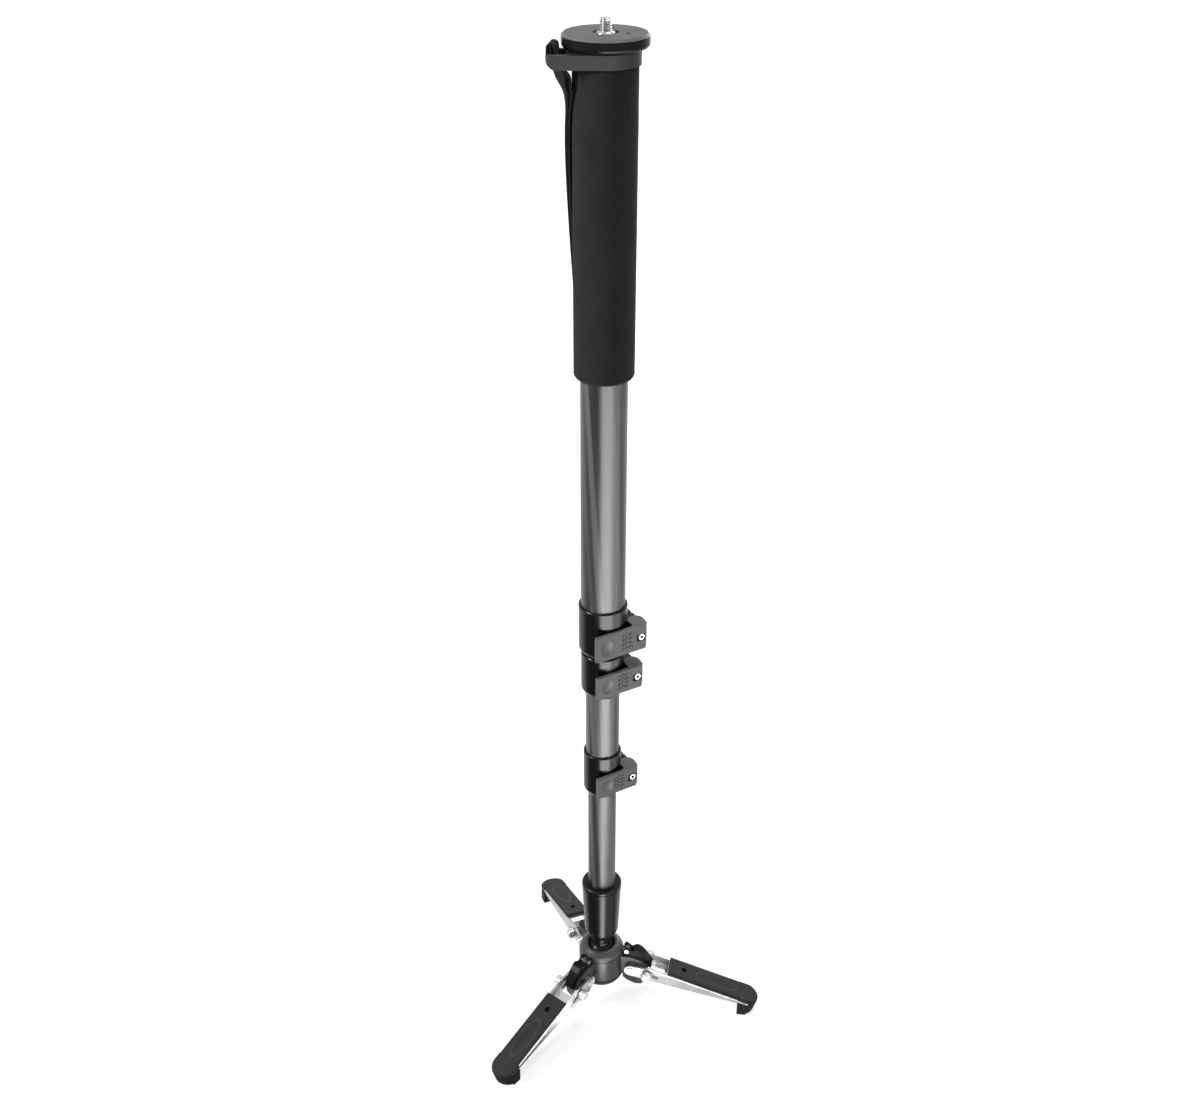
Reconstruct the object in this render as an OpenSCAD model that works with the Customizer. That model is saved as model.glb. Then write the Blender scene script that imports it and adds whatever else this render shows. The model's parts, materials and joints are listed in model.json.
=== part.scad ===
// Camera monopod with four tube sections, flip-lever locks and a folding three-foot ball base.
// Millimetres. The origin is the floor point under the column's axis, +Z is up, foot 1 points along +X.

/* [Column tubes] */
// outside diameter of the top tube, section 1
tube_1_d = 28; // [24:0.5:36]
// wall of every tube
tube_wall = 1.2; // [0.8:0.1:1.4]
// gap between a tube and the next one inside it
tube_gap = 0.3; // [0.2:0.05:0.6]
// bare length of tube 1 between the top lock and the grip
tube_1_shown = 153.7; // [60:1:300]
// length of section 3 that is pulled out
section_3_shown = 48; // [46.5:0.5:200]
// length of section 4 that is pulled out
section_4_shown = 82; // [70:0.5:200]
// gap between the two upper locks with section 2 pushed in
section_2_shown = 0.6; // [0.3:0.1:3]
// gap left above the uppermost guide with section 2 pushed in
top_gap = 3.1; // [1:0.1:120]
// length of the guide plug's rim above its tube
guide_rim_h = 5; // [3:0.5:10]
// length of the guide plug inside its tube
guide_plug_h = 12; // [6:1:20]
// radius of the vent through the guide plugs
guide_vent_r = 3; // [1:0.5:5]

/* [Grip and top] */
// length of the foam grip
grip_h = 175.3; // [80:1:260]
// thickness of the foam
grip_wall = 3.8; // [2:0.1:8]
// rounding at the grip's lower edge
grip_edge = 2.6; // [0.5:0.1:3]
// height of the strap bracket
bracket_h = 7.5; // [5:0.1:12]
// wall of the bracket's ring
bracket_wall = 5; // [3:0.1:7]
// reach of the bracket's arm from the axis
arm_reach = 30.8; // [28.8:0.1:36]
// direction of the bracket's arm
bracket_azimuth = 188.6; // [0:0.2:360]
// camera plate diameter
plate_d = 46.6; // [44:0.1:46.6]
// camera plate thickness at its rim
plate_h = 7.4; // [5:0.1:10]
// length of the plate's plug in tube 1
plate_plug_h = 24; // [10:1:30]
// diameter of the camera stud's crests, a quarter inch
stud_d = 6.35; // [6.35:0.01:9.525]
// stud length above the plate
stud_h = 7.2; // [4:0.1:9]
// stud thread pitch
stud_pitch = 1.27; // [1:0.01:1.6]

/* [Wrist strap] */
// webbing width
strap_w = 12.2; // [8:0.1:12.8]
// webbing thickness
strap_t = 1.6; // [1:0.1:1.6]
// height of the strap's lower end above the floor, as it hangs
strap_drop = 140; // [60:1:170]

/* [Locks] */
// direction of the closed levers
lock_azimuth = 39.6; // [0:0.2:360]
// collar wall around the upper tube
collar_wall = 1.5; // [1.4:0.05:2]
// height of the collar of lock 1
collar_1_h = 34.7; // [32:0.1:45]
// height of the collar of lock 2
collar_2_h = 30.5; // [29:0.1:45]
// height of the collar of lock 3
collar_3_h = 33.2; // [30:0.1:45]
// height of the closed ring at the top of collar 1
ring_1_h = 10.6; // [5:0.1:11.5]
// height of the closed ring at the top of collar 2
ring_2_h = 5.8; // [4:0.1:8]
// height of the closed ring at the top of collar 3
ring_3_h = 9.1; // [5:0.1:11]
// height of lever 1
lever_1_h = 17.9; // [13:0.1:18.5]
// height of lever 2
lever_2_h = 16.2; // [13:0.1:17.5]
// height of lever 3
lever_3_h = 15.4; // [13:0.1:17]
// thickness of the lever plate
lever_t = 2.4; // [1.8:0.1:3]
// radius of the lever's round end at its pin
cam_r = 5.2; // [4.6:0.1:5.4]
// clamp bolt diameter
bolt_d = 4; // [3:0.5:4]
// thickness of the plastic shim between collar and tube
shim_t = 0.6; // [0.4:0.05:0.8]

/* [Base] */
// height of the hub's underside above the floor
hub_z = 22.6; // [22:0.1:24]
// hub radius
hub_r = 16.1; // [15.8:0.1:16.4]
// ball radius
ball_r = 11; // [9.5:0.1:11.2]
// height of the ball's centre
ball_z = 38.5; // [38:0.1:39]
// radius of the stem's neck
neck_r = 5; // [4:0.1:5.5]
// radius of the hub's top opening
opening_r = 9.8; // [9:0.1:10]
// lower end of the sleeve
sleeve_z = 57; // [56.5:0.1:60]
// height of the sleeve
sleeve_h = 48; // [46:0.5:70]
// sleeve radius at its top
sleeve_r = 13.9; // [13:0.1:14]

/* [Feet] */
// distance of the foot pivots from the axis
pivot_r = 22.2; // [22:0.1:24]
// height of the foot pivots
pivot_z = 29.3; // [29:0.1:30]
// slope of an open foot, degrees below level
foot_slope = 17.7; // [17:0.1:18]
// outside width of the channel
channel_w = 17; // [16.6:0.1:18]
// sheet thickness of the channel
channel_t = 1.6; // [1:0.1:1.6]
// channel length from its pivot to its tip
channel_l = 88; // [80:0.5:90]
// height of the channel's top above the pivot line
channel_top = 8.2; // [8:0.1:8.4]
// rubber pad thickness
pad_t = 2; // [1.5:0.1:2.2]
// radius of the rubber nose at the foot's end
tip_r = 9.3; // [8.8:0.1:10]
// width of the hub's lugs
lug_w = 10; // [9:0.1:10]
// width of the latches
latch_w = 7; // [6:0.1:9]
// radius of the foot pivot pins
pivot_pin_r = 2.2; // [1.5:0.1:2.5]
// travel of the lock slider
slider_travel = 7.5; // [4:0.5:7.5]
// radius of the slider's knobs
knob_r = 3.5; // [2.5:0.1:3.8]

/* [Hidden] */

$fn = 64;
eps = 0.01;
glue = 0.02;
slide_fit = 0.05;
clear = 0.3;

// tube radii from the top section down
tube_step = tube_wall + tube_gap;
function outer_r(i) = tube_1_d / 2 - (i - 1) * tube_step;
function inner_r(i) = outer_r(i) - tube_wall;

// heights up the column
sleeve_top = sleeve_z + sleeve_h;
collar_3_z = sleeve_top + section_4_shown;
collar_2_z = collar_3_z + collar_3_h + section_3_shown;
collar_1_z = collar_2_z + collar_2_h + section_2_shown;
function collar_z(i) = i == 1 ? collar_1_z : i == 2 ? collar_2_z : collar_3_z;
function collar_h(i) = i == 1 ? collar_1_h : i == 2 ? collar_2_h : collar_3_h;
function ring_h(i) = i == 1 ? ring_1_h : i == 2 ? ring_2_h : ring_3_h;
function lever_h(i) = i == 1 ? lever_1_h : i == 2 ? lever_2_h : lever_3_h;
function collar_top(i) = collar_z(i) + collar_h(i);
function ring_z(i) = collar_top(i) - ring_h(i);
grip_z = collar_top(1) + tube_1_shown;
grip_top = grip_z + grip_h;
bracket_z = grip_top + clear;
bracket_top = bracket_z + bracket_h;
plate_boss_h = 0.9;
plate_z = bracket_top + plate_boss_h;
plate_top = plate_z + plate_h;
socket_lip = 0.8;
function tube_z(i) = i == 4 ? sleeve_z + 9.5 : ring_z(i) + socket_lip;
tube_reach = plate_z - plate_boss_h - plate_plug_h - top_gap - guide_rim_h - tube_z(2);
function tube_top(i) = i == 1 ? bracket_top : tube_z(i) + tube_reach;

// a lock's plan, in its own frame: x runs along the closed lever, -y points out through the lever's face
function collar_r(i) = outer_r(i) + collar_wall;
function shim_in(i) = outer_r(i + 1) + slide_fit;
function shim_out(i) = shim_in(i) + shim_t;
function band_in(i) = shim_out(i) + slide_fit;
function band_r(i) = collar_r(i) - 1.3;
function face_y(i) = -(collar_r(i) + 1.5);
function pin_x(i) = collar_r(i) + 3.2;
function pin_y(i) = -(collar_r(i) - 6.2);
function lever_end(i) = -(collar_r(i) - 0.9);
function lever_z(i) = collar_z(i) + (collar_h(i) - ring_h(i) - lever_h(i)) * 0.52;
function lever_mid(i) = lever_z(i) + lever_h(i) / 2;
ear_w = 4.2;
ear_gap = 1.4;
function ear_y(i) = pin_y(i) + cam_r + clear;
function nut_y(i) = ear_y(i) + 2 * ear_w + ear_gap;
lever_pin_r = 2.6;
lever_roof = 1.6;
nut_h = 3.2;
bolt_reach = 7.4;

module at_lock() {
  rotate([0, 0, lock_azimuth]) children();
}

module lower_tube(i) {
  color([0.2, 0.2, 0.21])
  translate([0, 0, tube_z(i)])
  difference() {
    cylinder(r = outer_r(i), h = tube_top(i) - tube_z(i));
    translate([0, 0, -1]) cylinder(r = inner_r(i), h = tube_top(i) - tube_z(i) + 2);
  }
}

module guide(i) {
  color([0.75, 0.75, 0.7])
  translate([0, 0, tube_top(i)])
  difference() {
    union() {
      cylinder(r = inner_r(i - 1) - slide_fit, h = guide_rim_h);
      translate([0, 0, -guide_plug_h]) cylinder(r = inner_r(i) - glue, h = guide_plug_h + eps);
    }
    translate([0, 0, -guide_plug_h - 1]) cylinder(r = guide_vent_r, h = guide_plug_h + guide_rim_h + 2);
  }
}

// collar: a closed ring glued to the upper tube, over a split clamp band around the shim
module collar(i) {
  r = collar_r(i);
  h = collar_h(i);
  z = collar_z(i);
  chamfer = 2;
  seat = h - ring_h(i) + socket_lip;
  ear_z = lever_z(i) + 0.8;
  ear_h = lever_h(i) - 1.6;
  color([0.07, 0.07, 0.08])
  at_lock()
  difference() {
    union() {
      difference() {
        translate([0, 0, z])
        rotate_extrude($fn = 96)
        polygon([[band_in(i), 1.2], [outer_r(i + 1) + clear, 1.2], [outer_r(i + 1) + clear, 0],
          [r - chamfer, 0], [r - 0.5, chamfer + 0.6], [r, chamfer + 2], [r, h - 0.6], [r - 0.4, h],
          [outer_r(i) + glue, h], [outer_r(i) + glue, seat], [band_in(i), seat]]);
        translate([0, 0, z - 1])
        rotate([0, 0, -130])
        rotate_extrude(angle = 150, $fn = 96)
        translate([band_r(i), 0])
        square([6, h - ring_h(i) + 1]);
      }
      translate([band_in(i) + 0.2, ear_y(i), ear_z])
      cube([pin_x(i) + 3.2 - band_in(i), 2 * ear_w + ear_gap, ear_h]);
    }
    // bore kept clear where the ears join the band
    translate([0, 0, z + 1.2]) cylinder(r = band_in(i), h = seat - 1.2);
    // vertical split
    translate([outer_r(i + 1) - 2, ear_y(i) + ear_w, z - 1])
    cube([20, ear_gap, h - ring_h(i) + 1]);
    // slot that frees the band from the ring
    translate([0, 0, ring_z(i) - 1.2])
    rotate([0, 0, -130])
    rotate_extrude(angle = 170)
    translate([band_in(i) - 1, 0])
    square([8, 1.2]);
    // bolt hole through both ears
    translate([pin_x(i), ear_y(i) - 1, lever_mid(i)])
    rotate([-90, 0, 0])
    cylinder(d = bolt_d + 2 * slide_fit, h = 2 * ear_w + ear_gap + 2, $fn = 32);
  }
}

module shim(i) {
  color([0.55, 0.56, 0.55])
  at_lock()
  difference() {
    translate([0, 0, collar_z(i) + 1.2 + slide_fit])
    difference() {
      cylinder(r = shim_out(i), h = collar_h(i) - ring_h(i) - 1.2 + socket_lip - 2 * slide_fit);
      translate([0, 0, -1]) cylinder(r = shim_in(i), h = collar_h(i));
    }
    translate([0, ear_y(i) + ear_w, collar_z(i)])
    cube([20, ear_gap, collar_h(i)]);
  }
}

module lever_plan(i) {
  x = pin_x(i);
  y = pin_y(i);
  face = face_y(i);
  polygon([[lever_end(i), face + lever_t], [lever_end(i), face + 0.8], [lever_end(i) + 0.8, face],
    [x + 2.6, face], [x + 4.6, face + 1.8], [x + cam_r, y - 0.4], [x + cam_r, y], [x - cam_r, y],
    [x - cam_r, face + lever_t + 1.4], [x - cam_r - 1.4, face + lever_t]]);
  translate([x, y]) circle(r = cam_r);
}

// oval finger dimple: the surface of a barrel that stands off the face
module dimple(half_w, half_h, depth) {
  stand = (half_w * half_w / depth - depth) / 2;
  barrel = half_h * half_h / (2 * depth);
  translate([0, -stand, 0])
  rotate_extrude($fn = 96)
  intersection() {
    translate([stand + depth - barrel, 0]) circle(r = barrel, $fn = 128);
    translate([0, -half_h * 1.5]) square([stand + depth + 1, half_h * 3]);
  }
}

module lever(i) {
  h = lever_h(i);
  x = pin_x(i);
  y = pin_y(i);
  face = face_y(i);
  bump_gap = h * 0.18;
  slot_r = bolt_reach + 1.2;
  color([0.35, 0.35, 0.36])
  at_lock()
  translate([0, 0, lever_z(i)])
  difference() {
    union() {
      linear_extrude(height = h) lever_plan(i);
      for (col = [0:2])
        for (row = [0:3])
          translate([x - 13.6 + col * 2.6, face + eps, h / 2 + (row - 1.5) * bump_gap + (col % 2) * 0.7])
          rotate([90, 0, 0])
          cylinder(r1 = 0.9, r2 = 0.45, h = 0.45, $fn = 16);
    }
    translate([lever_end(i) + 7.4, face, h / 2]) dimple(4.3, h * 0.34, 0.9);
    // bore of the lever pin
    translate([x, y, -1]) cylinder(r = lever_pin_r + slide_fit, h = h - lever_roof + 1);
    // slot that lets the lever swing past the bolt
    translate([x, y, h / 2 - bolt_d / 2 - 0.5])
    difference() {
      cylinder(r = slot_r, h = bolt_d + 1);
      translate([bolt_d / 2 + 0.5, -20, -1]) cube([20, 20 - bolt_d / 2 - 1.4, bolt_d + 3]);
    }
    // corner taken off at the lower outer end
    translate([x + cam_r, face - 1, 0])
    rotate([0, 45, 0])
    cube([3, 12, 3], center = true);
  }
}

module lever_pin(i) {
  color([0.7, 0.7, 0.72])
  at_lock()
  difference() {
    translate([pin_x(i), pin_y(i), lever_z(i) + 0.6])
    cylinder(r = lever_pin_r, h = lever_h(i) - lever_roof - 0.9);
    translate([pin_x(i), pin_y(i) - 10, lever_mid(i)])
    rotate([-90, 0, 0])
    cylinder(d = bolt_d + 2 * glue, h = 20);
  }
}

module lever_bolt(i) {
  tail = nut_y(i) + nut_h + 0.8;
  color([0.78, 0.78, 0.8])
  at_lock()
  translate([pin_x(i), tail, lever_mid(i)])
  rotate([90, 0, 0])
  difference() {
    cylinder(d = bolt_d, h = tail - pin_y(i) + bolt_reach);
    translate([0, 0, tail - pin_y(i) + bolt_reach - 1.6])
    cylinder(r = bolt_d * 0.29, h = 3, $fn = 6);
  }
}

module lever_nut(i) {
  color([0.6, 0.6, 0.62])
  at_lock()
  translate([pin_x(i), nut_y(i), lever_mid(i)])
  rotate([-90, 0, 0])
  difference() {
    cylinder(r = bolt_d, h = nut_h, $fn = 6);
    translate([0, 0, -1]) cylinder(d = bolt_d + 2 * glue, h = nut_h + 2);
  }
}

// top of the column
module tube_1() {
  lower_tube(1);
}

module grip() {
  inner = outer_r(1) + glue;
  outer = outer_r(1) + grip_wall;
  color([0.12, 0.12, 0.13])
  translate([0, 0, grip_z])
  rotate_extrude($fn = 96)
  difference() {
    union() {
      translate([inner, 0]) square([outer - grip_edge - inner, grip_edge + 1]);
      translate([inner, grip_edge]) square([outer - inner, grip_h - grip_edge - 1]);
      translate([inner, grip_edge]) square([outer - 1 - inner, grip_h - grip_edge]);
      translate([outer - grip_edge, grip_edge]) circle(r = grip_edge);
      translate([outer - 1, grip_h - 1]) circle(r = 1);
    }
    translate([inner - 9, -1]) square([9, grip_h + 2]);
  }
}

ring_r = outer_r(1) + bracket_wall;
arm_front = ring_r - 0.3;
arm_back = -2;
strap_y = 2.3;
notch_y = 1.7;
notch_w = strap_w + 1.4;
notch_x = 20.6;
strap_pin_r = 1.9;
loop_in = strap_pin_r + 0.1;
loop_out = loop_in + strap_t;
strap_pin_x = arm_reach - loop_out;
strap_pin_z = bracket_z + bracket_h / 2;

module strap_bracket() {
  corner = 3.6;
  color([0.27, 0.27, 0.28])
  rotate([0, 0, bracket_azimuth])
  intersection() {
    translate([0, 0, bracket_z])
    difference() {
      union() {
        cylinder(r = ring_r, h = bracket_h, $fn = 96);
        linear_extrude(height = bracket_h)
        difference() {
          union() {
            translate([0, arm_back]) square([arm_reach - corner, arm_front - arm_back]);
            translate([0, arm_back]) square([arm_reach, arm_front - arm_back - corner]);
            translate([arm_reach - corner, arm_front - corner]) circle(r = corner);
          }
          translate([notch_x, notch_y]) square([20, notch_w]);
        }
      }
      translate([0, 0, -1]) cylinder(r = outer_r(1) + glue, h = bracket_h + 2, $fn = 96);
      for (wall_y = [arm_back - 1, notch_y + notch_w - 1])
        translate([strap_pin_x, wall_y, bracket_h / 2])
        rotate([-90, 0, 0])
        cylinder(r = strap_pin_r + glue, h = wall_y < 0 ? 5 : 3, $fn = 32);
    }
    // the arm's lower outer corner is rounded off
    translate([0, 0, bracket_z])
    rotate([90, 0, 0])
    linear_extrude(height = 100, center = true)
    polygon([[-40, 0], [arm_reach - 4.6, 0], [arm_reach - 2.6, 0.9], [arm_reach - 1, 2.4],
      [arm_reach, 4.4], [arm_reach, bracket_h - 0.6], [arm_reach - 0.6, bracket_h], [-40, bracket_h]]);
  }
}

module strap_pin() {
  color([0.6, 0.6, 0.62])
  rotate([0, 0, bracket_azimuth])
  translate([strap_pin_x, arm_back, strap_pin_z])
  rotate([-90, 0, 0])
  cylinder(r = strap_pin_r, h = notch_y + notch_w - arm_back + 2, $fn = 32);
}

strap_mid_y = strap_y + strap_w / 2;
strap_near = outer_r(1) + grip_wall + slide_fit;
strap_mid_r = strap_near + strap_t;
loop_mid = loop_in + strap_t / 2;
loop_top = bracket_top + 2.1;
join_inner = 10;
join_outer = 14;
strap_runs = 6;

// direction of the hanging strap from the arm, at a depth below the grip's top: it winds off behind the grip
function strap_angle(depth) = 70.8 - 28.3 * pow(depth, 0.3);
function strap_depth(i) = join_inner + i * (strap_drop - join_inner) / strap_runs;
function on_grip(r, depth) = [r * cos(strap_angle(depth)), r * sin(strap_angle(depth)), grip_top - depth];

// straight length of webbing between two points, its width held level across the arm
module webbing(from, to, t) {
  run = to - from;
  translate(from)
  rotate([atan2(-run[1], run[2]), 0, 0])
  rotate([0, asin(run[0] / norm(run)), 0])
  translate([-t / 2, -strap_w / 2, -0.5])
  cube([t, strap_w, norm(run) + 1]);
}

// webbing loop over the strap pin; below the bracket its two legs lie together down the grip
module wrist_strap() {
  color([0.08, 0.08, 0.09])
  rotate([0, 0, bracket_azimuth])
  union() {
    translate([strap_pin_x, strap_mid_y, loop_top])
    rotate([90, 0, 0])
    linear_extrude(height = strap_w, center = true)
    difference() {
      circle(r = loop_out);
      circle(r = loop_in);
      translate([-10, -20]) square([20, 20]);
    }
    for (side = [-1, 1]) {
      leg_x = strap_pin_x + side * loop_mid;
      webbing([leg_x, strap_mid_y, loop_top], [leg_x, strap_mid_y, bracket_z + 0.6], strap_t);
    }
    webbing([strap_pin_x + loop_mid, strap_mid_y, bracket_z + 0.6],
      on_grip(strap_mid_r + strap_t / 2, join_outer), strap_t);
    webbing([strap_pin_x - loop_mid, strap_mid_y, bracket_z + 0.6],
      on_grip(strap_mid_r, join_inner), strap_t);
    for (i = [0:strap_runs - 1]) {
      upper = strap_angle(strap_depth(i));
      lower = strap_angle(strap_depth(i + 1));
      rotate([0, 0, (upper + lower) / 2])
      webbing([strap_mid_r, strap_mid_r * tan((upper - lower) / 2), grip_top - strap_depth(i)],
        [strap_mid_r, -strap_mid_r * tan((upper - lower) / 2), grip_top - strap_depth(i + 1)], 2 * strap_t);
    }
  }
}

screw_recess_r = 7;
shank_d = 9.525;
stud_core = stud_d / 2 - 0.42;
set_x = -12;
set_y = 3;

module top_plate() {
  r = plate_d / 2;
  color([0.45, 0.45, 0.46])
  rotate([0, 0, bracket_azimuth])
  difference() {
    translate([0, 0, plate_z])
    rotate_extrude($fn = 96)
    polygon([[0, -plate_boss_h - plate_plug_h], [inner_r(1) - glue, -plate_boss_h - plate_plug_h],
      [inner_r(1) - glue, -plate_boss_h], [ring_r - 1.5, -plate_boss_h], [ring_r - 1.5, 0], [r - 2.2, 0],
      [r - 1.1, 0.35], [r - 0.4, 1], [r, 2], [r, plate_h - 1.3], [r - 1.2, plate_h], [0, plate_h]]);
    // recess around the screw, and the hole of its wider end
    translate([0, 0, plate_top - 1.2]) cylinder(r = screw_recess_r, h = 3);
    translate([0, 0, plate_top - 16]) cylinder(d = shank_d + 2 * glue, h = 20);
    // tapped hole of the set screw
    translate([set_x, set_y, plate_top - plate_h + 1]) cylinder(r = 1.5 + glue, h = plate_h);
    // lightening bore up the plug
    translate([0, 0, plate_z - plate_boss_h - plate_plug_h - 1]) cylinder(r = 8, h = plate_plug_h - 8);
  }
}

// reversible screw: a quarter inch end above the plate, a three-eighths inch end in it
module camera_screw() {
  ridges = floor((stud_h - 1.6) / stud_pitch);
  start = plate_top + stud_h - 0.7 - ridges * stud_pitch;
  color([0.8, 0.8, 0.82])
  difference() {
    union() {
      translate([0, 0, plate_top - 15]) cylinder(d = shank_d, h = 15.3);
      translate([0, 0, plate_top - 1]) cylinder(d = stud_d, h = start - plate_top + 1);
      translate([0, 0, start - eps])
      rotate_extrude()
      union() {
        square([stud_core, ridges * stud_pitch + 2 * eps]);
        for (k = [0:ridges - 1])
          translate([0, k * stud_pitch])
          polygon([[stud_core - 0.1, 0], [stud_core, 0], [stud_d / 2, 0.3], [stud_d / 2, 0.85],
            [stud_core, 1.15], [stud_core - 0.1, 1.15]]);
      }
      translate([0, 0, plate_top + stud_h - 0.7]) cylinder(r1 = stud_d / 2 - 0.1, r2 = stud_d / 2 - 0.7, h = 0.7);
    }
    translate([0, 0, plate_top - 20]) cylinder(r = 1.2, h = 12, $fn = 6);
  }
}

module plate_set_screw() {
  color([0.3, 0.3, 0.31])
  rotate([0, 0, bracket_azimuth])
  translate([set_x, set_y, plate_top - plate_h + 1])
  difference() {
    cylinder(r = 1.5, h = plate_h - 2.2, $fn = 32);
    translate([0, 0, plate_h - 3.6]) cylinder(r = 0.85, h = 3, $fn = 6);
  }
}

// ball base
seat_r = ball_r + slide_fit;
seat_z = ball_z - 9.5;
seat_top = ball_z + 5.5;
seat_wall_r = ball_r + 2.2;
hub_shoulder = ball_z + 2.3;
hub_top = ball_z + 9.1;
boss_r = 7.4;
retainer_r = 8.2;
retainer_h = 2.4;
floor_h = 3.3;

module base_sleeve() {
  z = sleeve_z;
  h = sleeve_h;
  bore = outer_r(4) + glue;
  color([0.08, 0.08, 0.09])
  translate([0, 0, z])
  rotate_extrude($fn = 96)
  polygon([[neck_r + slide_fit, 0], [10.2, 0], [11.8, 4.5], [12, 6.5], [sleeve_r - 0.15, h - 3.6],
    [sleeve_r - 0.6, h - 3.4], [sleeve_r - 0.6, h - 2.7], [sleeve_r, h - 2.5], [sleeve_r, h - 1.2],
    [sleeve_r - 0.9, h], [bore, h], [bore, tube_z(4) - z], [8.7, tube_z(4) - z], [8.7, floor_h],
    [neck_r + slide_fit, floor_h]]);
}

module ball_stem() {
  neck_h = sleeve_z + floor_h + clear - ball_z;
  color([0.3, 0.3, 0.31])
  difference() {
    union() {
      intersection() {
        translate([0, 0, ball_z]) sphere(r = ball_r, $fn = 96);
        translate([-20, -20, seat_z + 0.4]) cube([40, 40, 30]);
      }
      translate([0, 0, ball_z]) cylinder(r = neck_r, h = neck_h);
      translate([0, 0, ball_z + ball_r * 0.8]) cylinder(r1 = neck_r + 1.6, r2 = neck_r - eps, h = 4.5);
      translate([0, 0, ball_z + 11.4]) cylinder(r1 = boss_r - 1.2, r2 = boss_r, h = 0.9);
      translate([0, 0, ball_z + 12.3]) cylinder(r = boss_r, h = sleeve_z - clear - ball_z - 12.3);
    }
    translate([0, 0, ball_z + neck_h - 10]) cylinder(r = 2 + glue, h = 11, $fn = 32);
  }
}

module stem_retainer() {
  color([0.62, 0.62, 0.64])
  translate([0, 0, sleeve_z + floor_h + clear])
  difference() {
    cylinder(r = retainer_r, h = retainer_h);
    translate([0, 0, -1]) cylinder(r = 2 + glue, h = retainer_h + 2, $fn = 32);
  }
}

module stem_screw() {
  z = sleeve_z + floor_h + clear;
  color([0.5, 0.5, 0.52])
  difference() {
    union() {
      translate([0, 0, z - 9]) cylinder(r = 2, h = retainer_h + 9.5, $fn = 32);
      translate([0, 0, z + retainer_h]) cylinder(r = 3.5, h = 2.6);
    }
    translate([0, 0, z + retainer_h + 0.9]) cylinder(r = 1.7, h = 3, $fn = 6);
  }
}

module seat(z0, z1) {
  color([0.85, 0.85, 0.82])
  difference() {
    translate([0, 0, z0]) cylinder(r = seat_wall_r, h = z1 - z0);
    translate([0, 0, ball_z]) sphere(r = seat_r, $fn = 96);
  }
}

module ball_seat_lower() {
  seat(seat_z, ball_z - 0.1);
}

module ball_seat_upper() {
  seat(ball_z + 0.1, seat_top);
}

// a foot's own vertical plane: x is the distance from the axis, z the height
module at_foot(k) {
  rotate([0, 0, 120 * (k - 1)]) children();
}

module upright(width) {
  rotate([90, 0, 0]) linear_extrude(height = width, center = true) children();
}

latch_pin_x = 18.8;
latch_pin_z = 42.6;
latch_pin_r = 1.4;
tongue_w = 3;

module hub() {
  bore = seat_wall_r + slide_fit;
  color([0.36, 0.36, 0.38])
  difference() {
    union() {
      rotate_extrude($fn = 96)
      polygon([[bore, hub_z], [hub_r - 0.5, hub_z], [hub_r, hub_z + 0.5], [hub_r, hub_shoulder - 0.5],
        [hub_r - 0.35, hub_shoulder - 0.3], [hub_r - 0.35, hub_shoulder + 0.1], [hub_r, hub_shoulder + 0.3],
        [hub_r - 0.15, hub_shoulder + 1.9], [hub_r - 0.9, hub_shoulder + 3.7],
        [hub_r - 2, hub_shoulder + 5.3], [hub_r - 3.5, hub_top - 0.3], [hub_r - 4.4, hub_top],
        [opening_r + 0.9, hub_top], [opening_r, hub_top - 0.8], [opening_r, seat_top + slide_fit],
        [bore, seat_top + slide_fit]]);
      for (k = [1:3])
        at_foot(k) {
          upright(lug_w)
          polygon([[hub_r - 2, 39.2], [21.6, 38.6], [25.4, 37.8], [30.8, 35.6], [33.6, 33], [34.8, 29.8],
            [34.2, 26], [32.9, 20], [30.2, 14.8], [25.6, 14.3], [20, 16.8], [hub_r + 0.3, 19.8],
            [hub_r + 0.3, hub_z + 0.3], [hub_r - 2, hub_z + 0.3]]);
          upright(tongue_w)
          union() {
            polygon([[hub_r - 2, 36], [22.4, 36], [21, 42.6], [latch_pin_x, 44.8], [hub_r - 2, 43.4]]);
            translate([latch_pin_x, latch_pin_z]) circle(r = 2.3);
          }
        }
    }
    translate([0, 0, hub_z - 1]) cylinder(r = bore, h = seat_top + slide_fit - hub_z + 1, $fn = 96);
    translate([0, 0, hub_z]) cylinder(r = opening_r, h = 60, $fn = 96);
    for (k = [1:3])
      at_foot(k) {
        translate([pivot_r, 0, pivot_z])
        rotate([90, 0, 0])
        cylinder(r = pivot_pin_r + glue, h = 30, center = true, $fn = 48);
        translate([latch_pin_x, 0, latch_pin_z])
        rotate([90, 0, 0])
        cylinder(r = latch_pin_r + glue, h = 30, center = true, $fn = 48);
      }
  }
}

cap_h = 4;
gasket_h = 2.5;

module base_gasket() {
  color([0.04, 0.04, 0.04])
  translate([0, 0, hub_z - gasket_h])
  rotate_extrude($fn = 96)
  polygon([[seat_wall_r + slide_fit, 0], [hub_r - 0.9, 0], [hub_r - 0.3, 0.6], [hub_r - 0.3, gasket_h - 0.4],
    [hub_r - 0.6, gasket_h], [seat_wall_r + slide_fit, gasket_h]]);
}

module base_cap() {
  z = hub_z - gasket_h - cap_h;
  rim = hub_r - 2.1;
  color([0.33, 0.33, 0.35])
  difference() {
    translate([0, 0, z])
    rotate_extrude($fn = 96)
    polygon([[0, 0], [rim - 1.5, 0], [rim, 1.5], [rim, cap_h], [seat_wall_r, cap_h],
      [seat_wall_r, seat_z - slide_fit - z], [0, seat_z - slide_fit - z]]);
    // hollow and the two spanner holes
    translate([0, 0, z + 3]) cylinder(r = 6.5, h = 20);
    for (side = [-1, 1])
      translate([0, side * 9.5, z - 1]) cylinder(r = 1.5, h = 4, $fn = 32);
  }
}

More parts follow.
